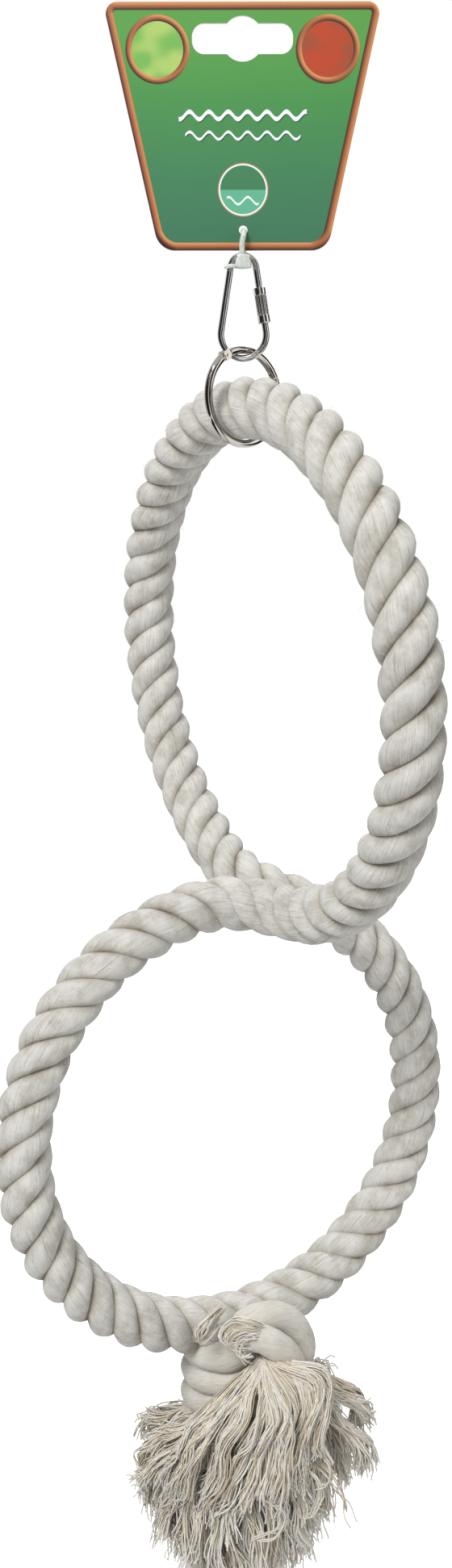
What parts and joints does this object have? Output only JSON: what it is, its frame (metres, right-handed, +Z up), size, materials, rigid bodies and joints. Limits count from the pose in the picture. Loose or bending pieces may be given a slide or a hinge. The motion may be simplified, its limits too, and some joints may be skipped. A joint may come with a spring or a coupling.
{
  "type": "bird perch",
  "caption": "Hanging bird perch of thick cotton rope in two crossed rings over a knotted, frayed tassel, with a snap ring, a screw link and a slotted hang card.",
  "frame": {"origin": "top of the hanging slot's round centre, in the middle of the card's thickness, where a peg carries the part", "axes": "+Z up along the plumb line, +X along the upper rope ring's plane, +Y square to it; the card faces between +X and -Y"},
  "size_m": [0.197, 0.1838, 0.5826],
  "materials": {
    "card": "coated printed card with a copper-coloured border",
    "nylon": "clear nylon, slightly milky",
    "link_steel": "bright zinc-plated steel",
    "ring_steel": "nickel-plated steel",
    "rope": "natural three-strand cotton rope, Z-laid",
    "strand": "unlaid cotton strands",
    "yarn": "frayed cotton yarns"
  },
  "bodies": {
    "card": {"hang_card": "card"},
    "loop": {"card_loop": "nylon"},
    "link": {"link_body": "link_steel"},
    "sleeve": {"link_sleeve": "link_steel"},
    "gate": {"ring_gate": "ring_steel"},
    "ring": {"ring_body": "ring_steel", "ring_pin": "ring_steel"},
    "rope": {"rope_upper": "rope", "rope_bend_front": "rope", "rope_bend_back": "rope", "rope_lower_near": "rope", "rope_lower_far": "rope", "knot_core": "strand", "knot_winding": "strand", "knot_tuck_outer": "strand", "knot_tuck_inner": "strand", "tassel_front": "yarn", "tassel_right": "yarn", "tassel_back": "yarn", "tassel_left": "yarn"}
  },
  "joints": [
    {"name": "loop_swing", "type": "hinge", "parent": "card", "child": "loop", "pos_m": [0, 0, -0.0639], "axis": [0.515, 0.8572, 0], "range_deg": [-12, 12]},
    {"name": "link_swing", "type": "hinge", "parent": "loop", "child": "link", "pos_m": [0, 0, -0.0738], "axis": [-0.8572, 0.515, 0], "range_deg": [-30, 30]},
    {"name": "sleeve_slide", "type": "slide", "parent": "link", "child": "sleeve", "axis": [-0.0825, -0.1373, 0.9871], "range_m": [0, 0.006]},
    {"name": "ring_swing", "type": "hinge", "parent": "link", "child": "ring", "pos_m": [0, 0, -0.1038], "axis": [0.515, 0.8572, 0], "range_deg": [-20, 20]},
    {"name": "gate_open", "type": "hinge", "parent": "ring", "child": "gate", "pos_m": [0.00154, -0.00791, -0.10336], "axis": [0.9816, 0.1908, 0], "range_deg": [0, 25]},
    {"name": "rope_swing", "type": "hinge", "parent": "ring", "child": "rope", "pos_m": [0, 0, -0.1198], "axis": [1, 0, 0], "range_deg": [-40, 40]}
  ]
}
